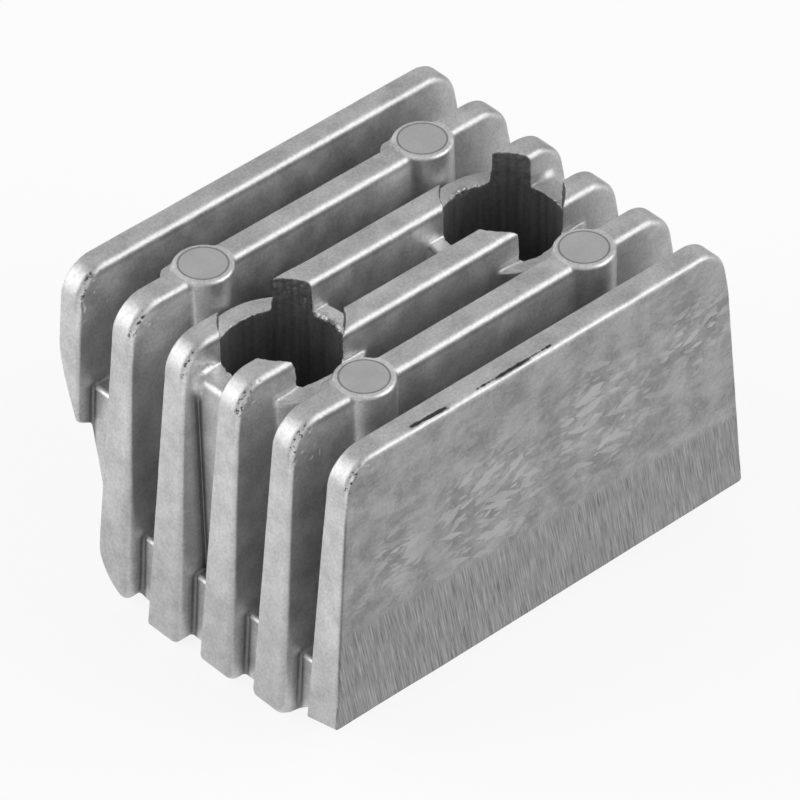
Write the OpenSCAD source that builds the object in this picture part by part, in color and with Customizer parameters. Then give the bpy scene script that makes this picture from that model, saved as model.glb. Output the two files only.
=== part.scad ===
// Finned sacrificial anode, die cast in one piece.
// It is bolted down through two deep round pockets between its middle fins.
// X runs along the fins, Y across them, Z up from the seat.
// The origin is on the seat, midway between the two bolts.

/* [Block] */
// Length of the fins, measured at the seat
base_l = 64.8; // [60:0.1:90]
// Height from the seat to the tops of the fins
block_h = 41.6; // [38:0.1:56]
// Slope of the two ends, in degrees from upright
end_draft = 4.67; // [0:0.01:6]
// Radius of the top corners of each fin
top_corner_r = 4; // [1:0.1:6]
// Radius of the bottom corners of each fin
foot_corner_r = 1.8; // [0.5:0.1:3]

/* [Fins] */
// Number of fins, the front plate and the back fin included
fin_count = 6; // [6:2:10]
// Distance from one fin to the next
fin_pitch = 9.08; // [8:0.01:12]
// Thickness of a fin at its top
fin_t = 3.1; // [2:0.1:4]
// Slope of the faces of a fin, in degrees from upright
fin_draft = 1.46; // [0:0.01:2]
// Radius along the long top edges of each fin
edge_r = 0.45; // [0.2:0.05:0.9]

/* [Base web] */
// Thickness of the web that joins the fins
web_t = 9.1; // [6:0.1:14]
// Height of the floor of the rear gap
rear_floor_h = 25.4; // [22:0.1:30]
// Radius where the fins meet the floor of a gap
floor_r = 1.2; // [0.3:0.1:1.6]
// How far the ends of the web lie behind the ends of the fins
web_inset = 2.65; // [0.5:0.05:5]
// The same for the web of the rear gap
rear_web_inset = 2.45; // [0.5:0.05:5]

/* [Underside and back] */
// Height of the front plate's outer lower edge above the seat
plate_lift = 5.1; // [3:0.1:7]
// Slope of the front plate's lower edge, in degrees
plate_foot_slope = 13; // [0:0.5:20]
// Slope of the underside between the front plate and the seat, in degrees
toe_slope = 37; // [30:0.5:60]
// Height at which the back face starts to lean inwards
back_break_h = 33; // [28:0.1:34]
// Lean of the back face below that height, in degrees
back_lean = 17.2; // [5:0.1:20]
// Radius between the leaning back and the seat
heel_r = 8; // [2:0.1:9]

/* [Bosses] */
// Distance from the middle of the block to a boss
boss_x = 16.9; // [12:0.1:22]
// Diameter of a boss at its top
boss_d = 7.3; // [5:0.1:8]
// Slope of the side of a boss, in degrees
boss_draft = 0.5; // [0:0.1:1]
// Radius round the rim of a boss
boss_edge_r = 0.35; // [0.1:0.05:0.6]
// Width of the ring left round the pin mark on top of a boss
pin_ring_w = 0.65; // [0.6:0.05:1.5]
// Depth of the pin mark
pin_mark_depth = 0.15; // [0.05:0.05:0.5]
// Length of the rib beside a boss, from the middle of the boss
boss_rib_l = 5.6; // [4.5:0.1:8]
// Distance that this rib stands behind its fin
boss_rib_w = 1.5; // [0.5:0.1:2.5]
// Distance from the top of the fin down to the top of the rib
boss_rib_drop = 0.6; // [0.2:0.1:3]

/* [Bolt pockets] */
// Distance between the two bolts
bolt_spacing = 34; // [30:0.1:38]
// Distance that the bolts lie behind the middle of the fins
bolt_shift = 0.15; // [0:0.05:0.6]
// Diameter of the hole for the bolt
bolt_hole_d = 7; // [5:0.1:9]
// Diameter of the pocket for the bolt's head
pocket_d = 14.6; // [12:0.1:16]
// Height of the pocket's floor above the seat
pocket_floor_h = 8; // [4:0.1:16]
// Thickness of the tube round a pocket
tube_wall = 2.2; // [1.5:0.1:3]
// Distance from the tops of the fins down to the tube's rim
tube_drop = 4.3; // [2:0.1:10]
// Thickness at its thinnest of the flat wall that closes the middle gap beside a pocket
end_wall = 3.05; // [1.5:0.05:4]

/* [Hidden] */
$fn = 96;
cast_metal = [0.66, 0.66, 0.65];

// Slopes as millimetres across for each millimetre of height
end_slope = tan(end_draft);
fin_slope = tan(fin_draft);
back_slope = tan(back_lean);
boss_slope = tan(boss_draft);

// Length of a sloping end for each millimetre of its height
end_run = 1 / cos(end_draft);

// Middle of the front plate and of the back fin, and the fins that carry bosses
comb_half = (fin_count - 1) / 2 * fin_pitch;
front_y = -comb_half - bolt_shift;
back_y = comb_half - bolt_shift;
boss_ys = [front_y + fin_pitch, back_y - fin_pitch];

// Outside of the back fin
back_face_y = back_y + fin_t / 2;

// Half thickness of a fin and half length of the block at height z
function fin_half(z) = fin_t / 2 + fin_slope * (block_h - z);
function end_half(z) = base_l / 2 - end_slope * z;

// The back leans from its break down to the seat, with a round heel
back_foot_y = back_face_y - back_slope * back_break_h;
heel_y = back_foot_y - heel_r * tan((90 - back_lean) / 2);
heel_top = [heel_y + heel_r * cos(back_lean), heel_r * (1 - sin(back_lean))];

// Foot of the front plate, and the edge where the underside meets the seat
plate_outer_y = front_y - fin_half(plate_lift);
plate_inner_y = front_y + fin_half(plate_lift);
plate_inner_h = plate_lift - (plate_inner_y - plate_outer_y) * tan(plate_foot_slope);
seat_front_y = plate_inner_y + plate_inner_h / tan(toe_slope);

// Sizes that follow from the bosses and the pockets
pin_mark_d = boss_d - 2 * pin_ring_w;
tube_d = pocket_d + 2 * tube_wall;
tube_h = block_h - tube_drop;
wall_reach = pocket_d / 2 + end_wall;

// A web reaches to this distance from the middle of a fin
web_bite = fin_t / 4;
// Share of a round's radius that lies outside the face it runs into
round_in = 0.9;
// Bodies that are trimmed by a cut or by the outline run this far past it
over = 5;

// A profile drawn as Y across and Z up, run along X
module along_x(length) {
    rotate([90, 0, 90]) translate([0, 0, -length / 2]) linear_extrude(length) children();
}

// A profile drawn as X across and Z up, run from one Y to another
module along_y(from, to) {
    translate([0, to, 0]) rotate([90, 0, 0]) linear_extrude(to - from) children();
}

// Side view of the block with its gaps filled in, open above the fin tops
module side_outline() {
    polygon([
        [front_y - fin_half(block_h + over), block_h + over],
        [plate_outer_y, plate_lift],
        [plate_inner_y, plate_inner_h],
        [seat_front_y, 0],
        [heel_y, 0],
        [heel_y, heel_r],
        heel_top,
        [back_face_y, back_break_h],
        [back_face_y, block_h + over]
    ]);
    translate([heel_y, heel_r]) circle(heel_r);
}

// End view of a fin: longer at the foot, all four corners round
module fin_outline() {
    // Centres of the corner rounds, and where they meet the sloping end
    top_x = end_half(block_h - top_corner_r) - top_corner_r * end_run;
    top_z = block_h - top_corner_r;
    foot_x = end_half(foot_corner_r) - foot_corner_r * end_run;
    top_touch = [top_x, top_z] + top_corner_r * [cos(end_draft), sin(end_draft)];
    foot_touch = [foot_x, foot_corner_r] + foot_corner_r * [cos(end_draft), sin(end_draft)];
    for (side = [-1, 1]) {
        translate([side * top_x, top_z]) circle(top_corner_r);
        translate([side * foot_x, foot_corner_r]) circle(foot_corner_r);
    }
    polygon([
        [-foot_x, 0], [foot_x, 0], [foot_x, foot_corner_r], foot_touch,
        top_touch, [top_x, top_z], [top_x, block_h],
        [-top_x, block_h], [-top_x, top_z], [-top_touch[0], top_touch[1]],
        [-foot_touch[0], foot_touch[1]], [-foot_x, foot_corner_r]
    ]);
}

// Section of a fin, thicker at its foot; extra metal on a side is left for the outline to trim
module fin_section(front_extra, back_extra) {
    polygon([
        [-fin_half(-over) - front_extra, -over], [fin_half(-over) + back_extra, -over],
        [fin_half(block_h + over) + back_extra, block_h + over],
        [-fin_half(block_h + over) - front_extra, block_h + over]
    ]);
}

// What the round along one top edge of a fin leaves outside itself; side -1 faces the front
module edge_section(side) {
    edge_z = block_h - round_in * edge_r;
    edge_y = fin_half(edge_z) - round_in * edge_r;
    difference() {
        translate([side > 0 ? edge_y : -edge_y - over, edge_z]) square(over);
        translate([side * edge_y, edge_z]) circle(edge_r);
    }
}

// The same along the whole comb
module edge_cuts() {
    for (i = [0 : fin_count - 1]) for (side = [-1, 1])
        translate([0, front_y + i * fin_pitch, 0]) along_x(base_l + 2 * over) edge_section(side);
}

// One fin, counted from the front plate
module fin(i) {
    y = front_y + i * fin_pitch;
    intersection() {
        along_y(y - fin_pitch, y + fin_pitch) fin_outline();
        translate([0, y, 0]) along_x(base_l + 2 * over)
            fin_section(i == 0 ? over : 0, i == fin_count - 1 ? over : 0);
    }
}

// Webs are counted from the one behind the front plate; the last one is the tall rear web
function web_y(i) = front_y + (i + 0.5) * fin_pitch;
function floor_of(i) = i == fin_count - 2 ? rear_floor_h : web_t;
function inset_of(i) = i == fin_count - 2 ? rear_web_inset : web_inset;

// Section of a web, which reaches into the fins beside it and rises in a round at each fin
module web_section(floor_h) {
    half_w = fin_pitch / 2 - web_bite;
    floor_z = floor_h + floor_r;
    floor_y = fin_pitch / 2 - fin_half(floor_z) - round_in * floor_r;
    difference() {
        translate([-half_w, -over / 2]) square([2 * half_w, floor_z + over / 2]);
        translate([-floor_y, floor_h]) square([2 * floor_y, over]);
        for (side = [-1, 1]) translate([side * floor_y, floor_z]) circle(floor_r);
    }
}

// One web, its ends set back from the ends of the fins and sloping like them
module web(i) {
    foot_half = end_half(-over) - inset_of(i);
    head_half = end_half(block_h) - inset_of(i);
    intersection() {
        translate([0, web_y(i), 0]) along_x(base_l + 2 * over) web_section(floor_of(i));
        along_y(web_y(i) - fin_pitch, web_y(i) + fin_pitch)
            polygon([
                [-foot_half, -over], [foot_half, -over],
                [head_half, block_h], [-head_half, block_h]
            ]);
    }
}

// Round boss on a fin, with a round rim, and the low rib that leans on the fin beside it
module boss(y) {
    rim_r = boss_d / 2 - boss_edge_r;
    rim_z = block_h - boss_edge_r;
    translate([0, y, 0]) {
        rotate_extrude() {
            polygon([
                [0, 0], [boss_d / 2 + boss_slope * rim_z, 0], [boss_d / 2, rim_z],
                [rim_r, rim_z], [rim_r, block_h], [0, block_h]
            ]);
            intersection() {
                translate([rim_r, rim_z]) circle(boss_edge_r);
                square([boss_d, block_h]);
            }
        }
        translate([-boss_rib_l, 0, 0])
            cube([boss_rib_l, fin_t / 2 + boss_rib_w, block_h - boss_rib_drop]);
    }
}

// Tube round a bolt pocket, with the flat wall that closes the middle gap
module pocket_tube(side) {
    root_z = web_t / 2;
    translate([side * bolt_spacing / 2, 0, root_z]) {
        cylinder(h = tube_h - root_z, d = tube_d);
        translate([side * wall_reach / 2, -bolt_shift, (tube_h - root_z) / 2])
            cube([wall_reach, fin_pitch, tube_h - root_z], center = true);
    }
}

// Pocket for the bolt's head, and the hole for the bolt below it
module pocket_cut() {
    translate([0, 0, pocket_floor_h]) cylinder(h = block_h, d = pocket_d);
    translate([0, 0, -over]) cylinder(h = block_h, d = bolt_hole_d);
}

module anode_casting() {
    color(cast_metal)
    difference() {
        intersection() {
            along_x(base_l + 2 * over) side_outline();
            union() {
                difference() {
                    for (i = [0 : fin_count - 1]) fin(i);
                    edge_cuts();
                }
                for (i = [0 : fin_count - 2]) web(i);
                for (x = [-boss_x, boss_x]) for (y = boss_ys) translate([x, 0, 0]) boss(y);
                for (side = [-1, 1]) pocket_tube(side);
            }
        }
        for (x = [-boss_x, boss_x]) for (y = boss_ys)
            translate([x, y, block_h - pin_mark_depth]) cylinder(h = over, d = pin_mark_d);
        for (side = [-1, 1]) translate([side * bolt_spacing / 2, 0, 0]) pocket_cut();
    }
}

anode_casting();
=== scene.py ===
from functools import reduce
import math
from types import SimpleNamespace
import bpy
import numpy as np
from mathutils import Matrix, Vector


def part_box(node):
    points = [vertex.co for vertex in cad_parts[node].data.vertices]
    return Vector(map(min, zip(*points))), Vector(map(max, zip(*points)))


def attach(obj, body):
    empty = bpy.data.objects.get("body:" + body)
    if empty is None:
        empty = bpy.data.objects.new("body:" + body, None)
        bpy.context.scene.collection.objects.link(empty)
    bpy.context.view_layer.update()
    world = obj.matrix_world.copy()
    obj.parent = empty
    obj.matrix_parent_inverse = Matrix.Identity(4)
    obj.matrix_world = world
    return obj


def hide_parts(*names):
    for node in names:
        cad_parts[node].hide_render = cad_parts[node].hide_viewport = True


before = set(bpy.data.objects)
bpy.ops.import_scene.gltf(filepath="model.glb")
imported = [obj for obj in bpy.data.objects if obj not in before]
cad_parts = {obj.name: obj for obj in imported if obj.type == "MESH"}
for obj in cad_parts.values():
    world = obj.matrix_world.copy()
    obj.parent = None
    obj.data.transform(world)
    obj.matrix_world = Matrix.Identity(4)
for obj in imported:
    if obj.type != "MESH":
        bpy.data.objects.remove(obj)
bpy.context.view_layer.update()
print("frame loaded")

mm = 0.001                       # the scene is in metres, the casting below in millimetres

# The casting: six fins on a web, with bosses, two bolt pockets and a leaning back
casting = {
    "height": 41.6,              # seat to fin tops
    "footHalf": 32.4,            # half the fins' length at the seat
    "endDraft": math.radians(4.67),
    "topCorner": 4.0,            # round of each fin's top corners
    "finCount": 6,
    "finPitch": 9.08,
    "finTop": 3.1,               # thickness at the top
    "finDraft": math.radians(1.46),
    "boltShift": 0.15,           # the bolts lie this far behind the middle of the comb
    "frontExtra": (0.12, 0.22, 0.22, 0.26, 0.03, 0.0),   # some fins are a little thicker in front
    "extraAlong": (-27.0, -15.0),                        # which begins here, near the left end
    "rearTip": 19.7,             # the back fin ends here, a little higher at its outer corners
    "rearTipSlope": 0.55,
    "rearTipRound": 0.6,
}

# Rounding of the fins' edges. "Up" and "Along" say where one goes over into another,
# above the seat and along the fins
rounding = {
    "front": 0.9,                # upper front edges, rounder than the back ones
    "frontUp": (34.0, 39.0),
    "left": 0.55,
    "right": 0.25,
    "leftAlong": (-5.0, 5.0),
    "back": 0.25,
    "plateFoot": 0.12,
    "plateFootUp": (6.5, 9.0),
    "foot": (0.3, 2.6, 1.8, 0.7, 1.2, 1.2),   # bottom corners, front plate to back fin
    "footUp": (20.0, 28.0),
    "low": (0.0, 0.25, 0.35, 0.6, 0.8, 0.2),  # left front edges get rounder towards the foot
    "lowUp": (6.0, 30.0),
    "lowAlong": (-25.0, -15.0),
}
web = {
    "floor": 9.1,
    "rearFloor": 25.4,           # the last gap is only about half as deep
    "rearFrom": 17.0,            # a line between the last gap and the others
    "inset": 2.65,
    "rearInset": 2.45,
    "topRound": 0.4,
    "sideRound": 0.5,
    "fillet": 0.35,
}
underside = {
    "plateLift": 5.1,
    "plateSlope": math.radians(13),
    "toeSlope": math.radians(37),
    "backBreak": 30.0,
    "backLean": math.radians(17.2),
    "breakRound": 0.5,
    "heel": 8.0,
}
boss = {
    "fins": (1, 4),
    "x": 16.9,
    "radius": 3.65,
    "draft": math.radians(0.5),
    "rim": 0.5,
    "fillet": 0.3,
    "markRadius": 2.9,           # ring that the ejector pin leaves on top
    "ribLength": 5.6,
    "ribWidth": 1.5,
    "ribTaper": 2.2,             # the rib's end runs out over this length
    "ribDrop": 0.6,
    "ribRound": 0.15,
    "ribFillet": 0.3,
}
pocket = {
    "x": 17.0,
    "radius": 7.25,
    "floor": 8.0,
    "floorRound": 0.5,
    "holeRadius": 3.5,
    "mouthRound": 0.15,
    "tubeRadius": 9.5,
    "rimHeight": 37.3,
    "wallReach": 10.35,
    "tubeFillet": 0.3,
    "topFillet": 1.3,            # wide where the flat walls' tops meet the fins, small below
    "wallFillet": 0.12,
    "filletUp": (-4.0, -1.5),    # from the rim, where the one goes over into the other
    "rimRound": 0.4,
    "wallRound": 0.9,
    "rearCutFin": 3,
    "swell": 0.2,                # this fin is a little thicker behind the pockets
    "swellComes": (-2.0, 2.0),
    "swellGoes": (5.0, 10.0),
    # pocket, angle, spread, rise
    "unevenRim": ((-17.0, 1.57, 0.55, -0.5), (-17.0, -1.8, 0.45, 0.35),
                  (17.0, -1.75, 0.7, -0.4), (17.0, 0.0, 0.5, -0.35), (17.0, 1.6, 0.6, -0.2)),
}


def roundedMax(a, b, radius):
    ar = a + radius
    br = b + radius
    return np.minimum(np.maximum(ar, br), 0) + np.hypot(np.maximum(ar, 0), np.maximum(br, 0)) - radius


def filletedMin(a, b, radius):
    return -roundedMax(-a, -b, radius)


def rise(value, low, high):
    t = np.clip((value - low) / (high - low), 0, 1)
    return t * t * (3 - 2 * t)


def drop(value, low, high):
    return rise(-value, -high, -low)


def bell(value, spread):
    return np.exp(-(value / spread) ** 2)


def finMiddle(i):
    return (i - (casting["finCount"] - 1) / 2) * casting["finPitch"] - casting["boltShift"]


def finHalf(z):
    return casting["finTop"] / 2 + math.tan(casting["finDraft"]) * (casting["height"] - z)


def fromPocket(x, y):
    return np.hypot(np.abs(x) - pocket["x"], y)


def endField(x, z, inset=0.0):
    half = casting["footHalf"] - inset - math.tan(casting["endDraft"]) * z
    return (np.abs(x) - half) * math.cos(casting["endDraft"])


# Outline of the whole casting as seen from its ends
def sideField(y, z):
    u = underside
    lift = u["plateLift"]
    outerY = finMiddle(0) - finHalf(lift)
    innerY = finMiddle(0) + finHalf(lift)
    innerZ = lift - (innerY - outerY) * math.tan(u["plateSlope"])
    foot = (lift - (y - outerY) * math.tan(u["plateSlope"]) - z) * math.cos(u["plateSlope"])
    toe = (innerZ - (y - innerY) * math.tan(u["toeSlope"]) - z) * math.cos(u["toeSlope"])
    backY = finMiddle(casting["finCount"] - 1) + casting["finTop"] / 2
    lean = (y - backY + math.tan(u["backLean"]) * (u["backBreak"] - z)) * math.cos(u["backLean"])
    heelShift = u["heel"] * math.tan(math.pi / 4 - u["backLean"] / 2)
    heelY = backY - math.tan(u["backLean"]) * u["backBreak"] - heelShift
    vy = y - heelY
    vz = z - u["heel"]
    inHeel = (vy > 0) & (vy * math.sin(u["backLean"]) + vz * math.cos(u["backLean"]) < 0)
    heel = np.where(inHeel, np.hypot(vy, vz) - u["heel"], np.maximum(-z, lean))
    return np.maximum(np.maximum(np.minimum(foot, toe), heel), roundedMax(lean, y - backY, u["breakRound"]))


def finField(i, x, y, z, side):
    r = rounding
    outline = roundedMax(endField(x, z), z - casting["height"], casting["topCorner"])
    outline = roundedMax(outline, side, r["back"] + (r["foot"][i] - r["back"]) * drop(z, *r["footUp"]))
    if i == casting["finCount"] - 1:
        past = np.abs(x) - casting["footHalf"] + math.tan(casting["endDraft"]) * z + web["rearInset"]
        tip = casting["rearTip"] + casting["rearTipSlope"] * past - z
        outline = roundedMax(outline, tip, casting["rearTipRound"])
    half = finHalf(z)
    swell = 0
    if i == pocket["rearCutFin"]:
        beside = x - np.sign(x) * pocket["x"]
        swell = pocket["swell"] * (rise(beside, *pocket["swellComes"]) - rise(beside, *pocket["swellGoes"]))
    extra = casting["frontExtra"][i] * rise(x, *casting["extraAlong"])
    front = (finMiddle(i) - y - half - extra) * math.cos(casting["finDraft"])
    back = (y - finMiddle(i) - half - swell) * math.cos(casting["finDraft"])
    edge = r["right"] + (r["left"] - r["right"]) * drop(x, *r["leftAlong"])
    edge = edge + r["low"][i] * drop(x, *r["lowAlong"]) * drop(z, *r["lowUp"])
    edge = edge + (r["front"] - edge) * rise(z, *r["frontUp"])
    if i == 0:
        edge = r["plateFoot"] + (edge - r["plateFoot"]) * rise(z, *r["plateFootUp"])
    return roundedMax(roundedMax(outline, front, edge), back, r["back"])


def webField(i, x, y, z, side):
    rear = i == casting["finCount"] - 2
    ends = endField(x, z, web["rearInset"] if rear else web["inset"])
    body = roundedMax(ends, z - web["rearFloor" if rear else "floor"], web["topRound"])
    body = roundedMax(body, side, web["sideRound"])
    middle = finMiddle(i) + casting["finPitch"] / 2
    return np.maximum(body, np.abs(y - middle) - casting["finPitch"] / 2)


def bossField(i, x, y, z):
    d = np.hypot(np.abs(x) - boss["x"], y - finMiddle(i))
    wall = (d - boss["radius"] - math.tan(boss["draft"]) * (casting["height"] - z)) * math.cos(boss["draft"])
    return roundedMax(wall, z - casting["height"], boss["rim"])


def ribField(i, x, y, z):
    length = np.minimum(np.maximum(-boss["x"] - boss["ribLength"] - x, x + boss["x"]),
                        np.maximum(boss["x"] - boss["ribLength"] - x, x - boss["x"]))
    reach = finMiddle(i) + casting["finTop"] / 2 + boss["ribWidth"] * rise(-length, 0, boss["ribTaper"])
    width = np.maximum(y - reach, finMiddle(i) - y)
    body = roundedMax(length, width, boss["ribRound"])
    return roundedMax(body, z - casting["height"] + boss["ribDrop"], boss["ribRound"])


# The cut rims of the tubes and flat walls go up and down a little
def overRim(x, y, z):
    inner = 1 - rise(fromPocket(x, y), pocket["radius"], pocket["tubeRadius"])
    uneven = 0
    for axis, angle, spread, height in pocket["unevenRim"]:
        uneven = uneven + height * bell(np.arctan2(y, x - axis) - angle, spread) * (np.sign(axis) * x > 0)
    return z - pocket["rimHeight"] - uneven * inner


def tubeField(x, y, z):
    return roundedMax(fromPocket(x, y) - pocket["tubeRadius"], overRim(x, y, z), pocket["rimRound"])


def flatWallField(x, y, z):
    across = np.abs(y + casting["boltShift"]) - casting["finPitch"] / 2
    beyond = np.abs(x) - pocket["x"]
    wall = np.maximum(np.maximum(across, -beyond), beyond - pocket["wallReach"])
    return roundedMax(wall, overRim(x, y, z), pocket["wallRound"])


def castingField(x, y, z):
    side = sideField(y, z)
    count = casting["finCount"]
    fins = reduce(np.minimum, (finField(i, x, y, z, side) for i in range(count)))
    webs = reduce(np.minimum, (webField(i, x, y, z, side) for i in range(count - 1)))
    body = filletedMin(fins, webs, web["fillet"])
    fromAxis = fromPocket(x, y)
    low, high = pocket["filletUp"]
    nearRim = rise(z, pocket["rimHeight"] + low, pocket["rimHeight"] + high)
    beside = rise(fromAxis, pocket["radius"], pocket["tubeRadius"])
    fillet = pocket["wallFillet"] + (pocket["topFillet"] - pocket["wallFillet"]) * nearRim * beside
    body = filletedMin(body, flatWallField(x, y, z), fillet)
    body = filletedMin(body, tubeField(x, y, z), pocket["tubeFillet"])
    for i in boss["fins"]:
        body = filletedMin(body, ribField(i, x, y, z), boss["ribFillet"])
        body = filletedMin(body, bossField(i, x, y, z), boss["fillet"])
    body = np.maximum(np.maximum(body, side), z - casting["height"])
    cavity = roundedMax(fromAxis - pocket["radius"], pocket["floor"] - z, pocket["floorRound"])
    body = roundedMax(body, -cavity, pocket["mouthRound"])
    return roundedMax(body, pocket["holeRadius"] - fromAxis, pocket["mouthRound"])


# Smooth noise from -1 to 1 on a lattice of random values
latticeSize = 32
latticeShift = 512               # keeps all places on the positive side
lattices = {}


def noise(x, y, z, cell, seed):
    if seed not in lattices:
        values = np.random.default_rng(seed).random((latticeSize,) * 3)
        lattices[seed] = (values * 2 - 1).astype(np.float32).ravel()
    table = lattices[seed]
    corners = []
    shares = []
    for v in (x, y, z):
        place = v / cell + latticeShift
        whole = np.floor(place).astype(np.int64)
        part = (place - whole).astype(np.float32)
        corners.append((whole % latticeSize, (whole + 1) % latticeSize))
        shares.append(part * part * (3 - 2 * part))
    total = 0
    for a in (0, 1):
        for b in (0, 1):
            for c in (0, 1):
                weight = 1
                for share, far in zip(shares, (a, b, c)):
                    weight = weight * (share if far else 1 - share)
                at = (corners[0][a] * latticeSize + corners[1][b]) * latticeSize + corners[2][c]
                total = total + weight * table[at]
    return total


# What casting and handling left: burrs round the pockets, dents, slots and an uneven skin
wear = {
    "skin": (0.020, 5.0, 0.010, 1.7),          # two sizes of unevenness: height, spacing
    "burrHeight": 0.52,
    "burrSpacing": 0.62,
    "burrFine": 0.6,             # share of a second noise at half the spacing
    "burrOut": 0.38,             # reach out from the pocket's edge,
    "burrUp": 0.5,               # and up and down from the rim
    "burrAllRound": 0.3,
    "burrToward": 0.38,          # spread of the heavy ones towards the other pocket
    "burrBehind": (1.6, 0.7, 0.4),             # angle, spread and share of those behind
    "burrGap": (2.0, 2.6, 6.0, 6.6),           # not on the cut fins, which are between these
    "cutDepth": 0.05,            # ragged edges of the cut fins
    "cutReach": 0.3,
    "nickDepth": 0.32,
    "nickSpacing": 0.55,
    "nickAbove": 0.45,           # the noise bites above this
    "nickAlong": (-26.0, -23.5),
    "nickUp": (33.0, 37.0),
    "slots": (((-19.0, -23.62), (-13.7, -23.82), 0.44, 0.0),     # from, to, spread, share of gaps
              ((-6.3, -23.84), (-1.4, -23.84), 0.46, 0.12),
              ((-9.3, -23.86), (2.3, -23.84), 0.85, 0.43)),      # this one is not cut into the casting, only painted dark as the shade of a slot
    "slotDepth": 0.08,
    "slotHalf": (0.12, 0.35),    # half the width at the bottom and at the top
    "scoop": ((-19.4, -22.9), (0.2, 0.9), 0.12),      # shallow dent before the first slot
    "endDent": ((-31.45, -23.6, 14.4), (0.3, 1.5), 0.16),
    "endDentSquash": 1.4,        # narrower across the plate
}


def besideSegment(x, y, start, end):
    sx, sy = start
    dx, dy = end[0] - sx, end[1] - sy
    along = np.clip(((x - sx) * dx + (y - sy) * dy) / (dx * dx + dy * dy), 0, 1)
    return np.hypot(x - sx - along * dx, y - sy - along * dy)


# Heaviest on the side towards the other pocket
def burrField(x, y, z):
    outward = fromPocket(x, y) - pocket["radius"]
    angle = np.arctan2(y, x - np.sign(x) * pocket["x"])
    middle, spread, share = wear["burrBehind"]
    heavy = bell(angle, wear["burrToward"]) * (x < 0) + share * bell(angle - middle, spread)
    ragged = noise(x, y, z, wear["burrSpacing"], 3)
    ragged = ragged + wear["burrFine"] * noise(x, y, z, wear["burrSpacing"] / 2, 4)
    gap = wear["burrGap"]
    offFins = rise(np.abs(y), *gap[2:]) + 1 - rise(np.abs(y), *gap[:2])
    burrs = wear["burrHeight"] * (wear["burrAllRound"] + heavy) * bell(outward - 0.1, wear["burrOut"])
    burrs = burrs * bell(z - pocket["rimHeight"], wear["burrUp"]) * offFins * (ragged - 0.1)
    atCut = bell(outward, wear["cutReach"]) * (z > pocket["rimHeight"] + 0.5)
    return wear["cutDepth"] * atCut * ragged - burrs


# Nicks along the front edges of the left corners
def nickField(x, y, z):
    corner = drop(x, *wear["nickAlong"]) * rise(z, *wear["nickUp"])
    fromFin = np.mod(y + casting["boltShift"], casting["finPitch"]) - casting["finPitch"] / 2
    bite = np.maximum(noise(x, y, z, wear["nickSpacing"], 5) - wear["nickAbove"], 0)
    return wear["nickDepth"] * corner * bell(fromFin + casting["finTop"] / 2 + 0.1, 0.4) * bite


def wearField(x, y, z):
    tall, wide, fine, close = wear["skin"]
    change = tall * noise(x, y, z, wide, 1) + fine * noise(x, y, z, close, 2)
    change = change + burrField(x, y, z) + nickField(x, y, z)
    top = casting["height"]
    for start, end, *_ in wear["slots"][:2]:
        near = 1 - rise(besideSegment(x, y, start, end), *wear["slotHalf"])
        change = change + wear["slotDepth"] * near * (z > top - 1.2)
    middle, reach, depth = wear["scoop"]
    away = np.hypot(x - middle[0], y - middle[1])
    change = change + depth * (1 - rise(away, *reach)) * (z > top - 0.8)
    middle, reach, depth = wear["endDent"]
    squash = wear["endDentSquash"]
    away = np.sqrt((x - middle[0]) ** 2 + (squash * (y - middle[1])) ** 2 + (z - middle[2]) ** 2)
    return change + depth * (1 - rise(away, *reach))


def wornField(x, y, z):
    return castingField(x, y, z) + wearField(x, y, z)


# The mesh is traced from the field, worn, and thinned where it is flat
netting = {
    "step": 0.21,
    "quickStep": 0.34,
    "margin": 1.0,               # past the frame's box on every side
    "maxTriangles": 190000,
    "farthestMove": 0.2,
    "slopeGap": 0.02,
    "normalGap": 0.04,
}


# One point for each cell that the surface crosses, one face for each crossed edge
def surfaceNet(field, low, high, step):
    axes = [np.arange(low[k], high[k] + step, step, dtype=np.float32) for k in range(3)]
    grid = field(axes[0][:, None, None], axes[1][None, :, None], axes[2][None, None, :])
    cells = np.array(grid.shape) - 1
    strides = np.array([cells[1] * cells[2], cells[2], 1])
    cellIds = []
    crossings = []
    quads = []
    for axis in range(3):
        b, c = (axis + 1) % 3, (axis + 2) % 3
        near = [slice(None)] * 3
        far = [slice(None)] * 3
        near[axis], far[axis] = slice(0, -1), slice(1, None)
        d0, d1 = grid[tuple(near)], grid[tuple(far)]
        index = np.argwhere((d0 < 0) != (d1 < 0))
        atB, atC = index[:, b], index[:, c]
        index = index[(atB > 0) & (atC > 0) & (atB < cells[b]) & (atC < cells[c])]
        a0 = d0[tuple(index.T)]
        a1 = d1[tuple(index.T)]
        point = np.stack([axes[k][index[:, k]] for k in range(3)], axis=1)
        point[:, axis] += step * a0 / (a0 - a1)
        touching = []
        for stepB, stepC in ((1, 1), (0, 1), (0, 0), (1, 0)):
            cell = index.copy()
            cell[:, b] -= stepB
            cell[:, c] -= stepC
            touching.append(cell @ strides)
            cellIds.append(touching[-1])
            crossings.append(point)
        quad = np.stack(touching, axis=1)
        flip = a0 > 0
        quad[flip] = quad[flip][:, ::-1]
        quads.append(quad)
    ids, inverse = np.unique(np.concatenate(cellIds), return_inverse=True)
    crossings = np.concatenate(crossings)
    count = np.bincount(inverse)
    points = np.stack([np.bincount(inverse, crossings[:, k]) / count for k in range(3)], axis=1)
    return points, np.searchsorted(ids, np.concatenate(quads))


def fieldSlope(field, points, gap):
    slope = np.empty_like(points)
    for k in range(3):
        shift = np.zeros(3)
        shift[k] = gap
        slope[:, k] = field(*(points + shift).T) - field(*(points - shift).T)
    return slope / np.maximum(np.linalg.norm(slope, axis=1, keepdims=True), 1e-9)


def settle(points, rounds):
    farthest = netting["farthestMove"]
    for _ in range(rounds):
        slope = fieldSlope(castingField, points, netting["slopeGap"])
        move = wornField(*points.T)[:, None] * slope
        points = points - np.clip(move, -farthest, farthest)
    return points


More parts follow.
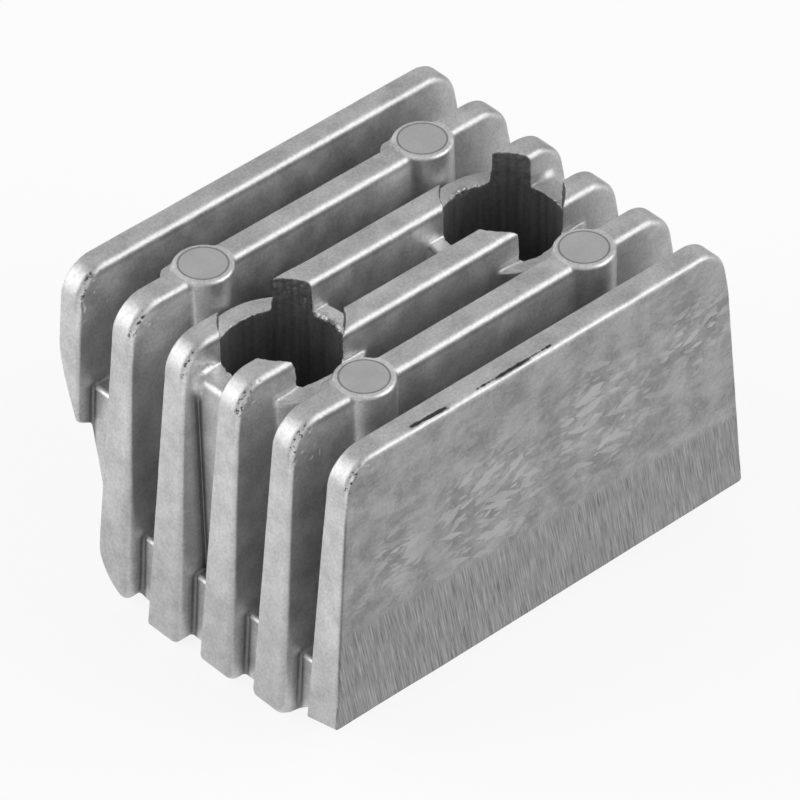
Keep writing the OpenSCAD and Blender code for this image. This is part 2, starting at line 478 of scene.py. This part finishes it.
def meshObject(name, points, faces):
    mesh = bpy.data.meshes.new(name)
    corners = faces.shape[1]
    mesh.vertices.add(len(points))
    mesh.vertices.foreach_set("co", (points * mm).astype(np.float32).ravel())
    mesh.loops.add(faces.size)
    mesh.loops.foreach_set("vertex_index", faces.astype(np.int32).ravel())
    mesh.polygons.add(len(faces))
    mesh.polygons.foreach_set("loop_start", np.arange(0, faces.size, corners, dtype=np.int32))
    mesh.update(calc_edges=True)
    obj = bpy.data.objects.new(name, mesh)
    bpy.context.collection.objects.link(obj)
    return obj


def castAnode():
    step = netting["step"]
    boxLow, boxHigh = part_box("anode_casting")
    low = np.array(boxLow) / mm - netting["margin"]
    high = np.array(boxHigh) / mm + netting["margin"]
    points, faces = surfaceNet(castingField, low, high, step)
    print("net traced:", len(faces), "faces")
    points = settle(points, 2)
    print("net settled")
    obj = meshObject("anode", points, faces)

    thin = obj.modifiers.new("thin", "DECIMATE")
    thin.ratio = min(1.0, netting["maxTriangles"] / (2 * len(faces)))
    thin.use_collapse_triangulate = True
    bpy.context.view_layer.update()
    evaluated = obj.evaluated_get(bpy.context.evaluated_depsgraph_get())
    mesh = bpy.data.meshes.new_from_object(evaluated)
    obj.modifiers.clear()
    obj.data = mesh
    print("thinned to", len(mesh.polygons), "triangles")

    places = np.empty(len(mesh.vertices) * 3, dtype=np.float32)
    mesh.vertices.foreach_get("co", places)
    points = settle(places.reshape(-1, 3).astype(np.float64) / mm, 1)
    mesh.vertices.foreach_set("co", (points * mm).astype(np.float32).ravel())
    mesh.polygons.foreach_set("use_smooth", np.ones(len(mesh.polygons), dtype=bool))
    mesh.update()
    normals = fieldSlope(wornField, points, netting["normalGap"])
    mesh.normals_split_custom_set_from_vertices(normals.astype(np.float32))
    print("anode meshed")
    return obj


anode = castAnode()


# Helpers for node materials. A value is a number or another node's output.
def newMaterial(name):
    material = bpy.data.materials.new(name)
    material.use_nodes = True
    return material, material.node_tree, material.node_tree.nodes["Principled BSDF"]


def feed(tree, socket, value):
    if isinstance(value, bpy.types.NodeSocket):
        tree.links.new(value, socket)
    else:
        socket.default_value = value


def calc(tree, operation, *values):
    node = tree.nodes.new("ShaderNodeMath")
    node.operation = operation
    for socket, value in zip(node.inputs, values):
        feed(tree, socket, value)
    return node.outputs[0]


def plus(tree, a, b):
    return calc(tree, "ADD", a, b)


def minus(tree, a, b):
    return calc(tree, "SUBTRACT", a, b)


def larger(tree, a, b):
    return calc(tree, "MAXIMUM", a, b)


def product(tree, *values):
    return reduce(lambda a, b: calc(tree, "MULTIPLY", a, b), values)


def scaled(tree, value, factor, shift):
    return calc(tree, "MULTIPLY_ADD", value, factor, shift)


def distance(tree, a, b):
    return calc(tree, "SQRT", scaled(tree, a, a, product(tree, b, b)))


def ramp(tree, value, low, high, start=0.0, end=1.0):
    node = tree.nodes.new("ShaderNodeMapRange")
    node.interpolation_type = "SMOOTHSTEP"
    inputs = {"Value": value, "From Min": low, "From Max": high, "To Min": start, "To Max": end}
    for name, number in inputs.items():
        feed(tree, node.inputs[name], number)
    return node.outputs["Result"]


def fall(tree, value, low, high):
    return ramp(tree, value, low, high, 1.0, 0.0)


# One near a middle value, nothing further off than the second distance
def around(tree, value, middle, full, gone):
    return fall(tree, calc(tree, "ABSOLUTE", minus(tree, value, middle)), full, gone)


def blend(tree, share, a, b):
    node = tree.nodes.new("ShaderNodeMix")
    feed(tree, node.inputs["Factor"], share)
    feed(tree, node.inputs["A"], a)
    feed(tree, node.inputs["B"], b)
    return node.outputs["Result"]


def vector(tree, x, y, z):
    node = tree.nodes.new("ShaderNodeCombineXYZ")
    for socket, value in zip(node.inputs, (x, y, z)):
        feed(tree, socket, value)
    return node.outputs[0]


def cloud(tree, place, scale, detail, twist=0.0, roughness=0.5):
    node = tree.nodes.new("ShaderNodeTexNoise")
    tree.links.new(place, node.inputs["Vector"])
    node.inputs["Scale"].default_value = scale
    node.inputs["Detail"].default_value = detail
    node.inputs["Distortion"].default_value = twist
    node.inputs["Roughness"].default_value = roughness
    return node.outputs["Fac"]


# Adds noise to a grey, as much to either side of its middle value
def unevenBy(tree, grey, noiseFac, spread):
    return scaled(tree, minus(tree, noiseFac, 0.5), spread, grey)


# Greys are what the metal reflects, 0 to 1
finish = {
    "cast": 0.57,
    "castMottle": 0.44,
    "castGrain": 0.50,
    "speckAbove": (0.68, 0.74),  # grain that is a dark speck
    "speckDirt": 0.30,
    # dark grey for specks, spots and the painted shade in the slots
    "darkMarkAndShade": 0.02,
    "castRoughness": 0.46,
    "mottleRoughness": 0.25,
    "plateRoughness": 0.06,
    "pocketRoughness": 0.12,
    "metallic": 0.80,
    "pocketWall": 0.26,
    "grainBump": 0.020,          # heights in mm
    "mottleBump": 0.05,
    "scratchBump": 0.03,
    "tones": {                   # share lighter or darker than the skin: painted light, painted shade and the pin mark's dark ring
        "innerCornerShade": -0.45,
        "creaseShade": -0.35,
        "rimLight": 0.18,
        "tubeEdgeHighlight": 0.65,
        "upperWallLight": 0.3,
        "tops": 0.08,
        "lowEndShade": -0.17,
        "rightSideShade": -0.22,
        "bossShoulderHighlight": 0.22,
        "bossRings": -0.5,
    },
    # Where the painted light and shade tones come and go
    "upperWallLightUp": (29.0, 39.0),            # mm over which a tone comes or goes
    "upperWallLightTop": (40.1, 40.6),
    "upperWallLightAlong": (8.0, 20.0),
    "lowEndShadeUp": (4.0, 24.0),
    "rightSideShadeAlong": (12.0, 22.0),
    "rightSideShadeTop": (41.0, 41.4),
    "flatWallShadeUp": (34.5, 36.5),
    "innerCornerShadeOut": (0.5, 1.7),
    "creaseShadeHalf": (0.3, 0.55),
    "discSmooth": 0.7,
}

# Noise in the material: scale, detail, twist and roughness
noises = {
    "mottle": (0.32, 4.0),
    "grain": (2.6, 4.0, 0.0, 0.7),
    "warp": (0.9, 3.0),
    "clouds": (1.0, 4.0, 0.3, 0.64),
    "scratch": (1.0, 3.0, 0.0, 0.7),
    "deepScratch": (1.0, 2.0),
    "spots": (1.9, 4.0, 0.0, 0.65),
    "slotEdge": (0.9, 3.0, 0.0, 0.6),
    "streak": (1.0, 3.0),
}

# Some of it is drawn out: cells per mm along, across and up
stretches = {
    "clouds": (0.20, 0.0, 0.22),
    "scratch": (5.2, 0.0, 0.22),
    "deepScratch": (3.4, 0.0, 0.30),
    "streak": (1.6, 1.6, 0.08),
}


def drawnOut(tree, name, x, y, z):
    place = vector(tree, *(product(tree, v, share) for v, share in zip((x, y, z), stretches[name])))
    return cloud(tree, place, *noises[name])


# Where a point lies on the casting, in mm
def castingPlaces(tree):
    coords = tree.nodes.new("ShaderNodeTexCoord")
    toMm = tree.nodes.new("ShaderNodeVectorMath")
    toMm.operation = "SCALE"
    toMm.inputs["Scale"].default_value = 1 / mm
    tree.links.new(coords.outputs["Object"], toMm.inputs[0])
    split = tree.nodes.new("ShaderNodeSeparateXYZ")
    tree.links.new(toMm.outputs[0], split.inputs[0])
    x, y, z = split.outputs
    at = SimpleNamespace(place=toMm.outputs[0], x=x, y=y, z=z)
    at.outward = calc(tree, "ABSOLUTE", x)
    endX = scaled(tree, z, -math.tan(casting["endDraft"]), casting["footHalf"])
    at.pastEnd = minus(tree, at.outward, endX)
    at.pastLeft = minus(tree, product(tree, x, -1.0), endX)
    fromComb = plus(tree, y, casting["boltShift"])
    at.fromFin = calc(tree, "WRAP", fromComb, casting["finPitch"], 0.0)
    at.fromFin = minus(tree, at.fromFin, casting["finPitch"] / 2)
    half = scaled(tree, z, -math.tan(casting["finDraft"]), finHalf(0))
    at.offWall = calc(tree, "ABSOLUTE", plus(tree, at.fromFin, half))       # from a fin's front wall
    faceY = scaled(tree, z, math.tan(casting["finDraft"]), finMiddle(0) - finHalf(0))
    extra = ramp(tree, x, *casting["extraAlong"], 0.0, casting["frontExtra"][0])
    at.behindFace = minus(tree, y, minus(tree, faceY, extra))
    at.fromAxis = distance(tree, minus(tree, at.outward, pocket["x"]), y)
    fromBossFin = minus(tree, calc(tree, "ABSOLUTE", fromComb), 1.5 * casting["finPitch"])
    at.fromBoss = distance(tree, minus(tree, at.outward, boss["x"]), fromBossFin)
    at.onTop = ramp(tree, z, casting["height"] - 0.3, casting["height"] - 0.1)
    at.onWall = fall(tree, at.offWall, 0.3, 0.5)
    at.onPlate = fall(tree, at.behindFace, 0.10, 0.25)
    return at


# Painted shade in the inner corner and the thin crease where a web or flat wall ends on a fin
def endShadeMasks(tree, beyond, below):
    near = product(tree, ramp(tree, beyond, -0.2, -0.1), fall(tree, beyond, *finish["innerCornerShadeOut"]))
    paintedCrease = around(tree, beyond, 0.1, *finish["creaseShadeHalf"])
    return product(tree, near, below), product(tree, paintedCrease, below)


# Painted shade beside the webs' and flat walls' ends, and a painted highlight on the lips on top of the
# webs' ends
def webEndShadeAndLipHighlight(tree, at):
    corner = 0.0
    paintedCrease = 0.0
    lipHighlight = 0.0
    for inset, top, rear in ((web["inset"], web["floor"], 0.0), (web["rearInset"], web["rearFloor"], 1.0)):
        beyond = plus(tree, at.pastEnd, inset)
        here = ramp(tree, at.y, web["rearFrom"], web["rearFrom"] + 0.1, 1.0 - rear, rear)
        below = product(tree, fall(tree, at.z, top - 0.2, top + 0.8), here)
        thisCornerShade, thisPaintedCrease = endShadeMasks(tree, beyond, below)
        corner = larger(tree, corner, thisCornerShade)
        paintedCrease = larger(tree, paintedCrease, thisPaintedCrease)
        # Painted highlight along the rounded top edge of each web's end
        thisLipHighlight = product(tree, around(tree, at.z, top - 0.15, 0.22, 0.34),
                          around(tree, beyond, -0.15, 0.25, 0.35), here)
        lipHighlight = larger(tree, lipHighlight, thisLipHighlight)
    # Painted shade in the corner and crease where the flat walls end on the cut fin
    beyond = minus(tree, at.outward, pocket["x"] + pocket["wallReach"])
    behindWall = around(tree, at.y, finMiddle(pocket["rearCutFin"]), 3.0, 3.2)
    below = product(tree, fall(tree, at.z, *finish["flatWallShadeUp"]), behindWall)
    thisCornerShade, thisPaintedCrease = endShadeMasks(tree, beyond, below)
    corner = product(tree, larger(tree, corner, thisCornerShade), fall(tree, at.offWall, 0.35, 0.85))
    paintedCrease = product(tree, larger(tree, paintedCrease, thisPaintedCrease), fall(tree, at.offWall, 0.3, 0.55))
    lipHighlight = product(tree, lipHighlight, minus(tree, 1.0, at.onWall), fall(tree, at.y, 20.9, 21.1))
    return corner, paintedCrease, lipHighlight


# Painted light on the rims of the tubes and flat walls, and a painted highlight on the tubes' outer edge
def rimLightAndTubeHighlight(tree, at):
    rimZ = pocket["rimHeight"]
    beyond = minus(tree, at.outward, pocket["x"] + pocket["wallReach"])
    across = calc(tree, "ABSOLUTE", at.y)
    flatWall = product(tree, ramp(tree, at.outward, pocket["x"], pocket["x"] + 0.1),
                       fall(tree, beyond, -0.1, 0.1), fall(tree, across, 4.4, 4.6))
    tube = fall(tree, at.fromAxis, pocket["tubeRadius"], pocket["tubeRadius"] + 0.2)
    rim = product(tree, larger(tree, tube, flatWall), ramp(tree, at.z, rimZ - 0.9, rimZ - 0.6),
                  fall(tree, at.z, rimZ + 0.6, rimZ + 0.9))
    edge = product(tree, around(tree, at.fromAxis, pocket["tubeRadius"], 0.2, 0.4),
                   fall(tree, across, 2.3, 2.8), fall(tree, at.z, rimZ - 0.8, rimZ - 0.5))
    return rim, edge


# Cast skin: soft mottling, fine grain and sparse dark specks, with painted light and painted shade in some
# places
def castSkin(tree, at, mottle, grain):
    skin = unevenBy(tree, finish["cast"], mottle, finish["castMottle"])
    skin = unevenBy(tree, skin, grain, finish["castGrain"])
    speck = product(tree, ramp(tree, grain, *finish["speckAbove"]), finish["speckDirt"])
    skin = blend(tree, speck, skin, finish["darkMarkAndShade"])

    # Boss tops: a smooth disc in a fine dark ring
    mark = boss["markRadius"]
    onDisc = product(tree, fall(tree, at.fromBoss, mark - 0.1, mark), at.onTop)
    skin = blend(tree, product(tree, onDisc, finish["discSmooth"]), skin, finish["cast"])

    corner, paintedCrease, lipHighlight = webEndShadeAndLipHighlight(tree, at)
    rim, tubeHighlight = rimLightAndTubeHighlight(tree, at)
    masks = {
        # painted shade in the inner corners and thin creases at the webs' and flat walls' ends
        "innerCornerShade": corner,
        "creaseShade": paintedCrease,
        # painted light on the tube and flat wall rims
        "rimLight": rim,
        # painted highlight on the tubes' outer edge
        "tubeEdgeHighlight": tubeHighlight,
        # painted light on the upper parts of the fins' walls
        "upperWallLight": product(tree, ramp(tree, at.z, *finish["upperWallLightUp"]),
                              fall(tree, at.z, *finish["upperWallLightTop"]), at.onWall,
                              fall(tree, at.x, *finish["upperWallLightAlong"])),
        # painted light on the top faces
        "tops": at.onTop,
        # painted shade on the end faces, darker towards the foot
        "lowEndShade": product(tree, ramp(tree, at.pastEnd, -0.6, -0.3), fall(tree, at.z, *finish["lowEndShadeUp"])),
        # painted shade over the right part, below the tops
        "rightSideShade": product(tree, ramp(tree, at.x, *finish["rightSideShadeAlong"]),
                             fall(tree, at.z, *finish["rightSideShadeTop"])),
        # painted highlight on the sloped shoulder around each boss top
        "bossShoulderHighlight": product(tree, ramp(tree, at.fromBoss, mark + 0.1, mark + 0.2),
                                 fall(tree, at.fromBoss, boss["radius"], boss["radius"] + 0.1),
                                 ramp(tree, at.z, casting["height"] - 0.6, casting["height"] - 0.5)),
        "bossRings": product(tree, around(tree, at.fromBoss, mark, 0.05, 0.15), at.onTop),
    }
    for name, mask in masks.items():
        skin = product(tree, skin, scaled(tree, mask, finish["tones"][name], 1.0))
    # The painted highlight on the webs' lips, blended towards white
    return blend(tree, lipHighlight, skin, 1.0)


# Front plate: feathery flakes above, a sanded band below
plate = {
    "grey": 0.30,
    "islands": 0.12,
    "islandEdge": (0.34, 0.66),
    "grain": 0.24,
    "flake": 0.46,
    "leaves": ((16, 5.5, 1.7, 0.60), (-14, 6.0, 1.3, 0.55), (36, 4.6, 1.5, 0.55),
               (2, 2.6, 0.8, 0.60)),             # angle, length and width of a cell, share of it
    "leafSize": (1.3, -0.25),    # this much of its layer's share, and less this
    "leafEdge": (-0.02, 0.03),
    "leafFaint": 0.3,            # share of the grey that the faintest ones have
    "warp": 0.6,                 # mm
    "warpUp": -0.8,
    "patches": ((-8.0, 25.0, 7.5), (9.5, 27.5, 7.0), (24.0, 31.0, 5.0), (-22.0, 25.0, 4.0)),   # x, z, reach
    "betweenPatches": 0.25,
    "sanded": 0.285,
    "sandedScratch": 0.68,
    "sandedClouds": 0.12,
    "deepAbove": (0.62, 0.72),
    "deepGrey": 0.62,            # share that deep scratches keep
    "bandTop": 17.3,             # the sanded band ends here, in mm above the seat
    "bandFall": -0.04,           # and a little lower to the right
    "bandRagged": 5.0,
    "bandSlant": 0.17,           # lean of the scratches
}


# Pointed flakes, one layer for each direction that they grow in
def leafMask(tree, x, z, angle, length, width, share):
    turn = math.radians(angle)
    along = plus(tree, product(tree, x, math.cos(turn) / length), product(tree, z, math.sin(turn) / length))
    across = plus(tree, product(tree, x, -math.sin(turn) / width), product(tree, z, math.cos(turn) / width))
    node = tree.nodes.new("ShaderNodeTexVoronoi")
    node.voronoi_dimensions = "2D"
    node.distance = "MINKOWSKI"
    node.inputs["Exponent"].default_value = 1.2
    node.inputs["Scale"].default_value = 1.0
    tree.links.new(vector(tree, along, across, 0.0), node.inputs["Vector"])
    split = tree.nodes.new("ShaderNodeSeparateXYZ")
    tree.links.new(node.outputs["Color"], split.inputs[0])
    grow, less = plate["leafSize"]
    size = scaled(tree, split.outputs[0], grow * share, less)
    leaf = fall(tree, minus(tree, node.outputs["Distance"], size), *plate["leafEdge"])
    return product(tree, leaf, scaled(tree, split.outputs[1], 1.0 - plate["leafFaint"], plate["leafFaint"]))


def plateFlakes(tree, at):
    warp = product(tree, minus(tree, cloud(tree, at.place, *noises["warp"]), 0.5), plate["warp"])
    x = plus(tree, warp, at.x)
    z = scaled(tree, warp, plate["warpUp"], at.z)
    leaves = 0.0
    for layer in plate["leaves"]:
        leaves = larger(tree, leaves, leafMask(tree, x, z, *layer))
    patches = plate["betweenPatches"]
    for middleX, middleZ, reach in plate["patches"]:
        away = distance(tree, minus(tree, at.x, middleX), minus(tree, at.z, middleZ))
        patches = larger(tree, patches, fall(tree, away, reach * 0.5, reach * 1.6))
    return product(tree, leaves, patches)


# The plate's grey, and where scratches roughen it
def plateFront(tree, at, grain):
    flakes = plateFlakes(tree, at)
    clouds = drawnOut(tree, "clouds", at.x, at.y, at.z)
    islands = ramp(tree, clouds, *plate["islandEdge"])
    flaked = unevenBy(tree, plate["grey"], islands, plate["islands"])
    flaked = unevenBy(tree, flaked, grain, plate["grain"])
    flaked = blend(tree, flakes, flaked, plate["flake"])
    slanted = scaled(tree, at.z, plate["bandSlant"], at.x)
    scratch = drawnOut(tree, "scratch", slanted, at.y, at.z)
    deep = drawnOut(tree, "deepScratch", slanted, at.y, at.z)
    sanded = unevenBy(tree, plate["sanded"], scratch, plate["sandedScratch"])
    sanded = unevenBy(tree, sanded, clouds, plate["sandedClouds"])
    sanded = product(tree, sanded, ramp(tree, deep, *plate["deepAbove"], 1.0, plate["deepGrey"]))
    bandEdge = scaled(tree, at.x, plate["bandFall"], plate["bandTop"])
    bandEdge = unevenBy(tree, bandEdge, scratch, plate["bandRagged"])
    inBand = fall(tree, minus(tree, at.z, bandEdge), -0.3, 0.2)
    return blend(tree, inBand, flaked, sanded), product(tree, scratch, inBand, at.onPlate)


# Dark ragged spots on the front edges of the corners, a soft line down the plate's left edge and painted
# shade in the slots
darkMarks = {
    "share": 0.92,
    "spotsAbove": (0.54, 0.58),
    "spotsHalf": (0.35, 0.75),       # to either side of the edge
    "edgeLine": 0.45,
    "edgeLineUp": (8.0, 14.0),
    "edgeLineTop": (33.0, 37.0),
    "slotShadeUp": (40.0, 40.5),
}


def darkSpotsAndSlotShade(tree, at):
    corner = casting["topCorner"]
    atFront = around(tree, at.fromFin, -casting["finTop"] / 2, *darkMarks["spotsHalf"])
    overX = larger(tree, plus(tree, at.pastLeft, corner), 0.0)
    overZ = larger(tree, minus(tree, at.z, casting["height"] - corner), 0.0)
    atCorner = product(tree, ramp(tree, distance(tree, overX, overZ), corner - 0.9, corner - 0.5),
                       ramp(tree, overX, 1.2, 2.2), ramp(tree, overZ, 0.0, 0.8))
    spots = ramp(tree, cloud(tree, at.place, *noises["spots"]), *darkMarks["spotsAbove"])
    darkMarkAndShade = product(tree, atFront, atCorner, spots)

    onEdge = fall(tree, calc(tree, "ABSOLUTE", plus(tree, at.pastLeft, at.behindFace)), 0.05, 0.35)
    onEdge = product(tree, onEdge, ramp(tree, at.pastLeft, -0.6, -0.4),
                     fall(tree, at.z, *darkMarks["edgeLineTop"]), ramp(tree, at.z, *darkMarks["edgeLineUp"]))
    darkMarkAndShade = larger(tree, darkMarkAndShade, product(tree, onEdge, darkMarks["edgeLine"]))

    # Painted shade inside the slots
    jagged = cloud(tree, vector(tree, at.x, 0.0, 0.0), *noises["slotEdge"])
    for (startX, startY), (endX, endY), spread, gaps in wear["slots"]:
        half = (endX - startX) / 2
        fromMiddle = minus(tree, at.x, (startX + endX) / 2)
        lineY = scaled(tree, fromMiddle, (endY - startY) / (endX - startX), (startY + endY) / 2)
        inX = fall(tree, calc(tree, "ABSOLUTE", fromMiddle), half - 0.2, half + 0.2)
        thick = product(tree, minus(tree, jagged, gaps), spread)
        away = minus(tree, calc(tree, "ABSOLUTE", minus(tree, at.y, lineY)), thick)
        slotShade = product(tree, inX, fall(tree, away, -0.04, 0.08), ramp(tree, at.z, *darkMarks["slotShadeUp"]))
        darkMarkAndShade = larger(tree, darkMarkAndShade, slotShade)
    return product(tree, darkMarkAndShade, darkMarks["share"])


def castMetal():
    material, tree, shader = newMaterial("castMetal")
    at = castingPlaces(tree)
    mottle = cloud(tree, at.place, *noises["mottle"])
    grain = cloud(tree, at.place, *noises["grain"])
    front, scratches = plateFront(tree, at, grain)
    grey = blend(tree, at.onPlate, castSkin(tree, at, mottle, grain), front)
    # Dark spots, the line down the plate's edge, and painted shade in the slots
    grey = blend(tree, darkSpotsAndSlotShade(tree, at), grey, finish["darkMarkAndShade"])

    # Pocket walls: cut metal, nearly black, with faint streaks down the wall
    streak = drawnOut(tree, "streak", at.x, at.y, at.z)
    radius = pocket["radius"]
    inside = fall(tree, unevenBy(tree, at.fromAxis, grain, 0.25), radius + 0.03, radius + 0.12)
    grey = blend(tree, inside, grey, product(tree, plus(tree, streak, grain), finish["pocketWall"]))

    tree.links.new(grey, shader.inputs["Base Color"])
    shader.inputs["Metallic"].default_value = finish["metallic"]
    roughness = unevenBy(tree, finish["castRoughness"], mottle, finish["mottleRoughness"])
    roughness = scaled(tree, at.onPlate, finish["plateRoughness"], roughness)
    roughness = scaled(tree, inside, finish["pocketRoughness"], roughness)
    tree.links.new(roughness, shader.inputs["Roughness"])
    height = product(tree, grain, finish["grainBump"])
    height = scaled(tree, mottle, finish["mottleBump"], height)
    bump = tree.nodes.new("ShaderNodeBump")
    bump.inputs["Distance"].default_value = mm
    tree.links.new(scaled(tree, scratches, finish["scratchBump"], height), bump.inputs["Height"])
    tree.links.new(bump.outputs["Normal"], shader.inputs["Normal"])
    return material


anode.data.materials.clear()
anode.data.materials.append(castMetal())
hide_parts("anode_casting")
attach(anode, "root")
print("anode finished")

# Plain pale floor, even pale surroundings and two soft lamps
studio = {
    "floorGrey": 0.92,
    "floorWhite": 0.85,          # how far the floor as seen, or mirrored, goes to plain white
    "floorRoughness": 0.9,
    "floorHalf": 3.0,
    "floorDrop": -0.05 * mm,     # just under the seat
    "world": 0.49,
    "lampSize": 0.75,
    "lampTarget": (0, 0, 0.02),
    "leftBack": ((-0.60, 0.53, 0.38), 4.0),     # place, power
    "rightFront": ((0.47, -0.60, 0.42), 4.2),
}


def stageFloor():
    material, tree, shader = newMaterial("studioFloor")
    shader.inputs["Base Color"].default_value = (studio["floorGrey"],) * 3 + (1,)
    shader.inputs["Roughness"].default_value = studio["floorRoughness"]
    shader.inputs["Specular IOR Level"].default_value = 0.0
    path = tree.nodes.new("ShaderNodeLightPath")
    seen = larger(tree, path.outputs["Is Camera Ray"], path.outputs["Is Glossy Ray"])
    seen = larger(tree, seen, path.outputs["Is Transmission Ray"])
    white = tree.nodes.new("ShaderNodeEmission")
    mix = tree.nodes.new("ShaderNodeMixShader")
    tree.links.new(product(tree, seen, studio["floorWhite"]), mix.inputs[0])
    tree.links.new(shader.outputs[0], mix.inputs[1])
    tree.links.new(white.outputs[0], mix.inputs[2])
    tree.links.new(mix.outputs[0], tree.nodes["Material Output"].inputs["Surface"])
    half = studio["floorHalf"]
    mesh = bpy.data.meshes.new("floor")
    corners = [(-half, -half, 0), (half, -half, 0), (half, half, 0), (-half, half, 0)]
    mesh.from_pydata(corners, [], [(0, 1, 2, 3)])
    mesh.materials.append(material)
    obj = bpy.data.objects.new("floor", mesh)
    obj.location.z = studio["floorDrop"]
    bpy.context.collection.objects.link(obj)


stageFloor()

world = bpy.data.worlds.new("studio")
bpy.context.scene.world = world
world.use_nodes = True
world.node_tree.nodes["Background"].inputs["Color"].default_value = (1, 1, 1, 1)
world.node_tree.nodes["Background"].inputs["Strength"].default_value = studio["world"]


def softLamp(name):
    place, power = studio[name]
    data = bpy.data.lights.new(name, "AREA")
    data.shape = "SQUARE"
    data.size = studio["lampSize"]
    data.energy = power
    obj = bpy.data.objects.new(name, data)
    obj.location = place
    aim = Vector(studio["lampTarget"]) - Vector(place)
    obj.rotation_euler = aim.to_track_quat("-Z", "Y").to_euler()
    bpy.context.collection.objects.link(obj)


softLamp("leftBack")
softLamp("rightFront")

# Camera, at the photograph's angle
eye = {
    "place": (-0.41818, -0.46159, 0.54617),
    "ahead": (0.51351, 0.56550, -0.64538),
    "up": (0.43766, 0.47432, 0.76385),
    "lens": 317.1,
    "sensor": 36,
}
cameraData = bpy.data.cameras.new("camera")
cameraData.lens = eye["lens"]
cameraData.sensor_width = eye["sensor"]
camera = bpy.data.objects.new("camera", cameraData)
ahead = Vector(eye["ahead"]).normalized()
right = ahead.cross(Vector(eye["up"])).normalized()
up = right.cross(ahead)
camera.matrix_world = Matrix.Translation(eye["place"]) @ Matrix((right, up, -ahead)).transposed().to_4x4()
bpy.context.collection.objects.link(camera)
bpy.context.scene.camera = camera
bpy.context.scene.view_settings.view_transform = "Standard"
print("studio set")
